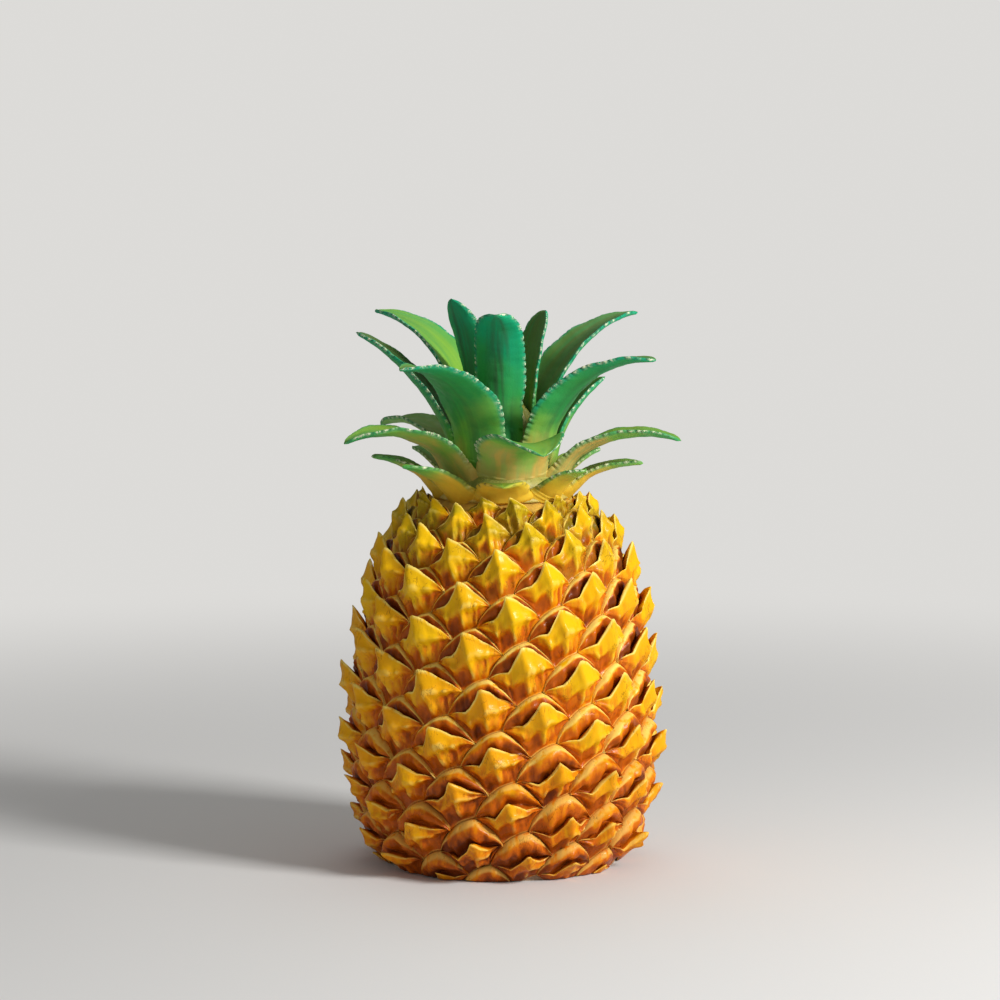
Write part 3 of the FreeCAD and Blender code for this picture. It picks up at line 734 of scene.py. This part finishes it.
def nickAt(values, places, here):   # depth of the nick and of the pale fleck beside it
    near = [(here - spot, size) for spot, size in places if abs(here - spot) < values["nickReach"]]
    nick = max([size * hump(d, values["nickWidth"]) for d, size in near] or [0])
    fleck = max([hump(d - 1.4, 0.9) * ease(5 * size - 3) for d, size in near] or [0])
    return nick, fleck


def bladeWidth(values, leaf, along):        # half width, how open and how tapered
    opening = ease(along / values["widest"])
    taper = max(0, 1 - along ** leaf["blunt"]) ** (0.72 if leaf["blunt"] < 3 else 0.6)
    flare = 1 + values["flare"] * (1 - ease(along / values["flareEnd"]))
    half = leaf["width"] * values["width"] / 2 * taper
    return half * blend(leaf["rootWidth"], 1, opening) * flare, opening, taper


def bladeFaces(values, leaf, across, along, here, half, grown, rooted):     # upper and lower
    rise = 2 * half * values["channel"] * blend(0.3, 1, grown)
    edge = values["margin"] * (1 - along / 4)
    middle = values["thickness"] * (1 - along / 2)
    upper = rise * across ** 2
    lower = blend(-middle, rise - edge, across ** 2)
    lower -= (leaf["swell"] * (1 - ease(here / values["swellReach"]))
              * (1 - 0.5 * across ** 2) * rooted)
    bead = values["bead"] * hump(abs(across) - 0.88, 0.09) * min(1, half / 5)
    return upper + bead, lower - bead


def addLeaf(values, number):
    leaf = dict(zip(leafColumns, leafTable[number]))
    length = leaf["length"] * values["length"]
    steps, sinkSteps = ceil(length / values["ringStep"]), values["sinkSteps"]
    line = leafMidline(leaf, length, steps)
    nicks = [nickPlaces(values, number, margin, length) for margin in (0, 1)]
    phase = 6 * chance(number, 11)
    grown = ease((length - values["plainLength"]) / 10)
    bm = bmesh.new()
    for key in leafLayers:
        bm.verts.layers.float.new(key)
    layers = {key: bm.verts.layers.float[key] for key in leafLayers}
    addTube(bm, values["around"], steps + sinkSteps - 1)

    for vert in bm.verts:
        ring = (vert.co.z + 0.5) * (steps + sinkSteps) - sinkSteps
        along = max(0, ring / steps)
        here = along * length
        across, side = vert.co.x, 1 if vert.co.y > 0 else -1
        if hypot(vert.co.x, vert.co.y) < 0.5:       # middle of an end
            across = side = 0
        place, sideways, up, tangent = line[min(int(max(ring, 0)), steps)]
        if ring < 0:
            place = place + tangent * leaf["sink"] * ring / sinkSteps
        margin = 0 if across < 0 else 1
        half, opening, taper = bladeWidth(values, leaf, along)
        nick, fleck = nickAt(values, nicks[margin], here)
        upper, lower = bladeFaces(values, leaf, across, along, here, half, grown,
                                  1 + min(0, ring) / sinkSteps)
        atRim = ease((abs(across) - 0.88) / 0.1)
        close = sqrt(min(1, max(0, (1 - along) * length / values["tipRounding"])))
        body = side * sqrt(max(0, 1 - abs(across) ** 6)) * close
        out = (upper + lower) / 2 + body * (upper - lower) / 2 * (1 - 0.3 * nick * atRim)
        out += (values["wave"] * sin(here / values["waveLength"] + phase + 2.5 * margin)
                * across ** 2 * opening)
        spot = Vector((across * 2.5 + number * 9, here * 0.12, 0))
        out += values["roughness"] * 2 * noise.noise(spot) * close
        out += values["roughness"] * noise.noise(spot * 3.1 + Vector((0, 0, 5))) * close
        reach = across * half - (1 if margin else -1) * values["nickDepth"] * nick * atRim * taper
        vert.co = (place + sideways * reach + up * out) * mm

        vert[layers["along"]] = along * min(1, length / 30)
        vert[layers["across"]] = across
        vert[layers["rim"]] = ease((abs(across) - 0.85) / 0.08) * opening * grown
        vert[layers["nick"]] = nick * ease((abs(across) - 0.92) / 0.06) * opening
        vert[layers["fleck"]] = fleck * ease((abs(across) - 0.92) / 0.05) * opening * grown
        vert[layers["tier"]] = leaf["height"]
        vert[layers["inner"]] = 1 if side > 0 and abs(across) < 0.9 else 0
        vert[layers["glow"]] = leaf["glow"]
        vert[layers["tone"]] = chance(number, 12)
    bmesh.ops.remove_doubles(bm, verts=bm.verts, dist=0.02 * mm)
    name = "leaf" + "".join(part.capitalize() for part in leaf["node"].split("_")[1:])
    finishPiece(bm, name, leafPaint, leaf["node"])


def addStem(values):
    bm = bmesh.new()
    addTube(bm, values["around"], values["upSteps"])
    for vert in bm.verts:
        share, angle = vert.co.z + 0.5, atan2(vert.co.y, vert.co.x)
        level = values["budRise"] * share
        radius = blend(values["flangeRadius"], values["topRadius"],
                       max(0, level - values["flangeHeight"])
                       / (values["rise"] - values["flangeHeight"]))
        radius += (values["skirt"] * hump(level, values["skirtHeight"])
                   + values["fill"] * hump(level - values["fillMiddle"], values["fillHeight"]))
        bud = max(0, level - values["budStart"]) / (values["budRise"] - values["budStart"])
        radius *= sqrt(max(0, 1 - bud ** 2))
        radius += (values["ribDepth"] * sin(values["ribs"] * angle + share * 5)
                   * (1 - bud) * ease(level / 6))
        radius += (values["roughness"]
                   * noise.noise(Vector((cos(angle) * 4, sin(angle) * 4, level * 0.25))))
        radius = max(0, radius) * (0 if hypot(vert.co.x, vert.co.y) < 0.5 else 1)
        vert.co = Vector((radius * cos(angle), radius * sin(angle),
                          arcs["neckHeight"] - values["sunk"] + level)) * mm
    bmesh.ops.remove_doubles(bm, verts=bm.verts, dist=0.02 * mm)
    finishPiece(bm, "crownStem", stemPaint, "crown_stem")


for number in range(len(leafTable)):
    addLeaf(leafValues, number)
addStem(stemValues)
print("crown made")


def paintNode(node, paint):         # a solid that stays as it is
    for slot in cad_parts[node].material_slots:
        slot.link = "OBJECT"
        slot.material = paint


paintNode("body_core", groovePaint)
paintNode("base_disc", footPaint)
print("core and foot painted")


# camera, floor and light
stageValues = {
    "cameraPlace": (-0.0012, -1.475, 0.300),
    "cameraPitch": 5.84,            # degrees below level
    "lens": 130.2, "sensor": 36,
    "floorSize": 12.0, "floorColour": (0.74, 0.73, 0.71), "floorRoughness": 0.9,
    "backdropColour": (0.72, 0.71, 0.69),
    "fadeStart": 0.2, "fadeEnd": 0.9,       # the floor passes into the backdrop
    "skyColour": (0.9, 0.9, 0.9), "skyStrength": 0.25,
    "lampAim": (0, 0, 0.12),
}
lampValues = {                      # place, size and watts
    "keyLamp": ((0.99, -0.67, 0.78), 0.35, 20),
    "fillLamp": ((-0.7, -1.2, 0.6), 0.9, 0.6),
    "topLamp": ((0, 0.5, 1.4), 0.8, 2.5),
}


def addCamera(values):
    data = bpy.data.cameras.new("camera")
    data.lens = values["lens"]
    data.sensor_width = values["sensor"]
    camera = bpy.data.objects.new("camera", data)
    camera.location = values["cameraPlace"]
    camera.rotation_euler = (radians(90 - values["cameraPitch"]), 0, 0)
    bpy.context.scene.collection.objects.link(camera)
    bpy.context.scene.camera = camera


def addFloor(values):
    bm = bmesh.new()
    bmesh.ops.create_grid(bm, x_segments=1, y_segments=1, size=values["floorSize"] / 2)
    mesh = bpy.data.meshes.new("floor")
    bm.to_mesh(mesh)
    bm.free()
    ground = bpy.data.objects.new("floor", mesh)
    bpy.context.scene.collection.objects.link(ground)
    material, tree, shader = newPaint("paleFloor")
    putIn(tree, shader.inputs["Base Color"], values["floorColour"])
    shader.inputs["Roughness"].default_value = values["floorRoughness"]
    distance = tree.nodes.new("ShaderNodeVectorMath")
    distance.operation = "LENGTH"
    tree.links.new(tree.nodes.new("ShaderNodeTexCoord").outputs["Object"], distance.inputs[0])
    far = spread(tree, distance.outputs["Value"], values["fadeStart"], values["fadeEnd"])
    seen = tree.nodes.new("ShaderNodeLightPath").outputs["Is Camera Ray"]
    plain = tree.nodes.new("ShaderNodeEmission")
    putIn(tree, plain.inputs["Color"], values["backdropColour"])
    mix = tree.nodes.new("ShaderNodeMixShader")
    tree.links.new(times(tree, far, seen), mix.inputs["Fac"])
    tree.links.new(shader.outputs["BSDF"], mix.inputs[1])
    tree.links.new(plain.outputs["Emission"], mix.inputs[2])
    tree.links.new(mix.outputs["Shader"], tree.nodes["Material Output"].inputs["Surface"])
    mesh.materials.append(material)


def addWorld(values):
    world = bpy.data.worlds.new("studio")
    world.use_nodes = True
    tree = world.node_tree
    soft, seen = tree.nodes["Background"], tree.nodes.new("ShaderNodeBackground")
    putIn(tree, soft.inputs["Color"], values["skyColour"])
    soft.inputs["Strength"].default_value = values["skyStrength"]
    putIn(tree, seen.inputs["Color"], values["backdropColour"])
    seen.inputs["Strength"].default_value = 1
    ray, mix = tree.nodes.new("ShaderNodeLightPath"), tree.nodes.new("ShaderNodeMixShader")
    tree.links.new(ray.outputs["Is Camera Ray"], mix.inputs["Fac"])
    tree.links.new(soft.outputs["Background"], mix.inputs[1])
    tree.links.new(seen.outputs["Background"], mix.inputs[2])
    tree.links.new(mix.outputs["Shader"], tree.nodes["World Output"].inputs["Surface"])
    bpy.context.scene.world = world


def addLamp(name, place, size, power):
    data = bpy.data.lights.new(name, "AREA")
    data.shape = "SQUARE"
    data.size = size
    data.energy = power
    lamp = bpy.data.objects.new(name, data)
    lamp.location = place
    aim = Vector(stageValues["lampAim"]) - Vector(place)
    lamp.rotation_euler = aim.to_track_quat("-Z", "Y").to_euler()
    bpy.context.scene.collection.objects.link(lamp)


bpy.context.scene.view_settings.view_transform = "Standard"
addCamera(stageValues)
addFloor(stageValues)
addWorld(stageValues)
for name, (place, size, power) in lampValues.items():
    addLamp(name, place, size, power)
print("camera, floor and light set")
